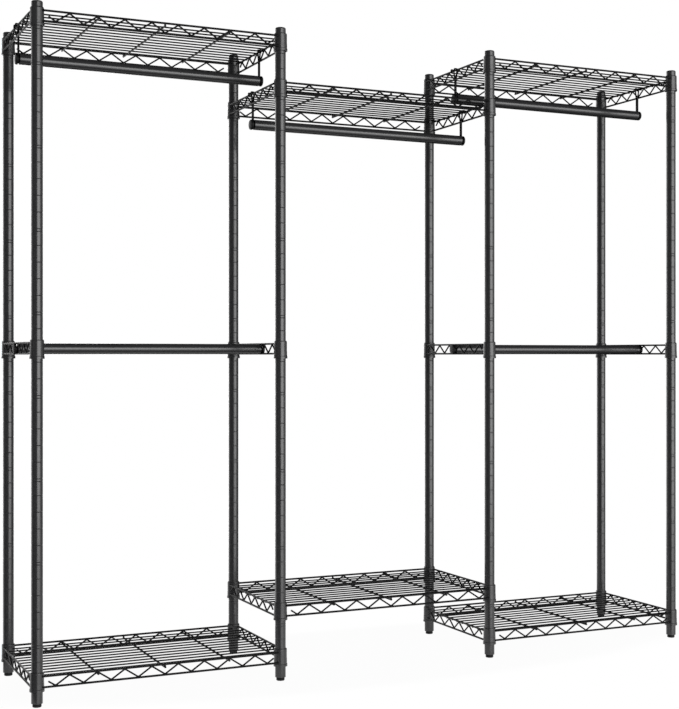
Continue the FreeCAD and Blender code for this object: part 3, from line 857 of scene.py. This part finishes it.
# Stage: an oval floor under the object, with dark flags round it that only reflections see
FLOOR_X = 1.4
FLOOR_Y = 0.44
FLOOR_STEPS = 96
FLOOR_COLOUR = "#f2f2f2"
FADE_START = 0.8
FADE_WHITE = 0.965
FLAG_RADIUS = 9
FLAG_LOW = -4.6
FLAG_HIGH = 6
FLAG_STEPS = 24
FLAG_COLOUR = "#0c0c0c"
FLAG_DISC_STEPS = 48

# Upright flags: the angles in degrees at which each begins and ends, from straight in front towards +X
UPRIGHT_FLAGS = (("left_flag", -110, -18), ("right_flag", 85, 150))

# Softboxes: name, which is also that of its radiance, place, width, height, aim, and if reflections see it
SOFTBOXES = (
    ("key", (3.5, -9.5, 1.9), 11, 5.8, (3.0, 0, 1.9), True),
    ("low", (3.0, -9.5, -2.6), 12, 3.2, (3.0, 0, -2.6), True),
    ("back", (0, 9.5, 1.9), 4, 5.8, (0, 0, 1.9), True),
    ("top", (0, 0, 4.6), 5, 3, (0, 0, 0), False),
    ("fill", (-7, -2.5, 1), 4, 4, (0, 0, 1), False),
)

# Height of the camera's sensor in millimetres
SENSOR_HEIGHT = 36


def seen_directly(tree):
    """One where a ray comes from the camera, or from it by way of a mirror or glass."""
    path = add_node(tree, "ShaderNodeLightPath", {})
    first = add_node(tree, "ShaderNodeMath", {0: path.outputs["Is Camera Ray"],
                                              1: path.outputs["Is Glossy Ray"]}, operation="MAXIMUM")
    return add_node(tree, "ShaderNodeMath", {0: first.outputs[0], 1: path.outputs["Is Transmission Ray"]},
                    operation="MAXIMUM").outputs[0]


def floor_paint():
    """Matt pale studio floor: it takes the shadow near the object and fades to plain white further out."""
    finish, tree = new_finish("pale_studio_floor")
    place = add_node(tree, "ShaderNodeTexCoord", {}).outputs["Object"]
    oval = add_node(tree, "ShaderNodeVectorMath", {0: place, 1: (1 / FLOOR_X, 1 / FLOOR_Y, 0)},
                    operation="MULTIPLY")
    distance = add_node(tree, "ShaderNodeVectorMath", {0: oval.outputs["Vector"]}, operation="LENGTH")
    fade = add_node(tree, "ShaderNodeMapRange", {"Value": distance.outputs["Value"], "From Min": FADE_START,
                                                 "From Max": 1.0, "To Min": FADE_WHITE, "To Max": 1.0},
                    interpolation_type="SMOOTHSTEP")
    share = add_node(tree, "ShaderNodeMath", {0: fade.outputs["Result"], 1: seen_directly(tree)},
                     operation="MULTIPLY")
    paint = add_node(tree, "ShaderNodeBsdfDiffuse", {"Color": (*linear(FLOOR_COLOUR), 1)})
    white = add_node(tree, "ShaderNodeEmission", {"Color": (1, 1, 1, 1), "Strength": 1.0})
    mix = add_node(tree, "ShaderNodeMixShader", {0: share.outputs[0], 1: paint.outputs["BSDF"],
                                                 2: white.outputs["Emission"]})
    add_node(tree, "ShaderNodeOutputMaterial", {"Surface": mix.outputs["Shader"]})
    return finish


def softbox(name, place, width, tall, radiance, aim):
    """A rectangular softbox that faces a point and isn't seen by the camera."""
    lamp = bpy.data.lights.new(name, "AREA")
    lamp.shape = "RECTANGLE"
    lamp.size = width
    lamp.size_y = tall
    lamp.energy = radiance * pi * width * tall
    light = bpy.data.objects.new(name, lamp)
    light.location = place
    light.rotation_euler = (Vector(aim) - light.location).to_track_quat("-Z", "Y").to_euler()
    light.visible_camera = False
    bpy.context.scene.collection.objects.link(light)
    return light


def flag_cloth():
    """Matt black cloth of the flags that keep the edges of the tubes dark."""
    finish, tree = new_finish("black_flag_cloth")
    cloth = add_node(tree, "ShaderNodeBsdfDiffuse", {"Color": (*linear(FLAG_COLOUR), 1)})
    add_node(tree, "ShaderNodeOutputMaterial", {"Surface": cloth.outputs["BSDF"]})
    return finish


def flag_form(start, end):
    """A curved upright flag; its angles turn from straight in front towards +X."""
    form = bmesh.new()
    x = FLAG_RADIUS * sin(start)
    y = -FLAG_RADIUS * cos(start)
    foot = form.verts.new((x, y, FLAG_LOW))
    head = form.verts.new((x, y, FLAG_HIGH))
    bmesh.ops.spin(form, geom=[foot, head, form.edges.new((foot, head))], cent=(0, 0, 0), axis=(0, 0, 1),
                   dvec=(0, 0, 0), angle=end - start, steps=FLAG_STEPS)
    return form


def add_stage(name, form, finish):
    """Make a form part of the studio."""
    mesh = bpy.data.meshes.new(name)
    form.to_mesh(mesh)
    form.free()
    mesh.materials.append(finish)
    item = bpy.data.objects.new(name, mesh)
    bpy.context.scene.collection.objects.link(item)
    return item


class WARDROBE_OT_stage(bpy.types.Operator):
    """Lay the floor, hang the softboxes and set the camera"""

    bl_idname = "wardrobe.stage"
    bl_label = "Studio"

    def execute(self, context):
        scene = context.scene
        stage = scene.wardrobe_stage
        floor = bmesh.new()
        bmesh.ops.create_circle(floor, cap_ends=True, segments=FLOOR_STEPS, radius=1)
        bmesh.ops.scale(floor, verts=floor.verts, vec=(FLOOR_X, FLOOR_Y, 1))
        add_stage("studio_floor", floor, floor_paint())
        cloth = flag_cloth()
        for name, start, end in UPRIGHT_FLAGS:
            add_stage(name, flag_form(radians(start), radians(end)), cloth).visible_camera = False
        for name, height in (("lower_flag", FLAG_LOW), ("upper_flag", FLAG_HIGH)):
            disc = bmesh.new()
            bmesh.ops.create_circle(disc, cap_ends=True, segments=FLAG_DISC_STEPS, radius=FLAG_RADIUS)
            bmesh.ops.translate(disc, verts=disc.verts, vec=(0, 0, height))
            add_stage(name, disc, cloth).visible_camera = False

        for name, place, width, tall, aim, glossy in SOFTBOXES:
            light = softbox(f"{name}_softbox", place, width, tall, getattr(stage, name), aim)
            light.visible_glossy = glossy

        world = bpy.data.worlds.new("studio")
        world.use_nodes = True
        tree = world.node_tree
        tree.nodes.clear()
        strength = add_node(tree, "ShaderNodeMapRange", {"Value": seen_directly(tree),
                                                         "To Min": stage.ambient, "To Max": 1.0})
        sky = add_node(tree, "ShaderNodeBackground", {"Color": (1, 1, 1, 1),
                                                      "Strength": strength.outputs["Result"]})
        add_node(tree, "ShaderNodeOutputWorld", {"Surface": sky.outputs["Background"]})
        scene.world = world
        scene.view_settings.view_transform = "Standard"

        lens = bpy.data.cameras.new("photo_camera")
        lens.sensor_fit = "VERTICAL"
        lens.sensor_height = SENSOR_HEIGHT
        lens.lens = stage.lens
        camera = bpy.data.objects.new("photo_camera", lens)
        camera.location = stage.camera
        camera.rotation_euler = (QUARTER_TURN, 0, -stage.turn)
        scene.collection.objects.link(camera)
        scene.camera = camera
        return {"FINISHED"}


OPERATORS = (WARDROBE_OT_stage, WARDROBE_OT_posts, WARDROBE_OT_caps, WARDROBE_OT_feet, WARDROBE_OT_sleeves,
             WARDROBE_OT_shelves, WARDROBE_OT_rails, WARDROBE_OT_rods, WARDROBE_OT_hangers)
GROUPS = {"wardrobe_posts": WardrobePostSizes, "wardrobe_wires": WardrobeWireSizes,
          "wardrobe_finish": WardrobeFinish, "wardrobe_stage": WardrobeStage}


class WARDROBE_PT_sidebar(bpy.types.Panel):
    """Lists the wardrobe's sizes, finishes and steps"""

    bl_idname = "WARDROBE_PT_sidebar"
    bl_label = "Open frame wardrobe"
    bl_space_type = "VIEW_3D"
    bl_region_type = "UI"
    bl_category = "Wardrobe"

    def draw(self, context):
        for name, group in GROUPS.items():
            box = self.layout.box()
            for key in group.__annotations__:
                box.prop(getattr(context.scene, name), key)
        for operator in OPERATORS:
            self.layout.operator(operator.bl_idname)


def register():
    """Make the sizes, operators and panel known."""
    for name, group in GROUPS.items():
        bpy.utils.register_class(group)
        setattr(bpy.types.Scene, name, PointerProperty(type=group))
    for item in (*OPERATORS, WARDROBE_PT_sidebar):
        bpy.utils.register_class(item)


def unregister():
    """Take them away again."""
    for item in (WARDROBE_PT_sidebar, *reversed(OPERATORS)):
        bpy.utils.unregister_class(item)
    for name, group in reversed(GROUPS.items()):
        delattr(bpy.types.Scene, name)
        bpy.utils.unregister_class(group)


def main():
    """Build every piece and the stage."""
    register()
    bpy.ops.wardrobe.stage()
    bpy.ops.wardrobe.posts()
    bpy.ops.wardrobe.caps()
    bpy.ops.wardrobe.feet()
    bpy.ops.wardrobe.sleeves()
    bpy.ops.wardrobe.shelves()
    bpy.ops.wardrobe.rails()
    bpy.ops.wardrobe.rods()
    bpy.ops.wardrobe.hangers()


if __name__ == "__main__":
    main()
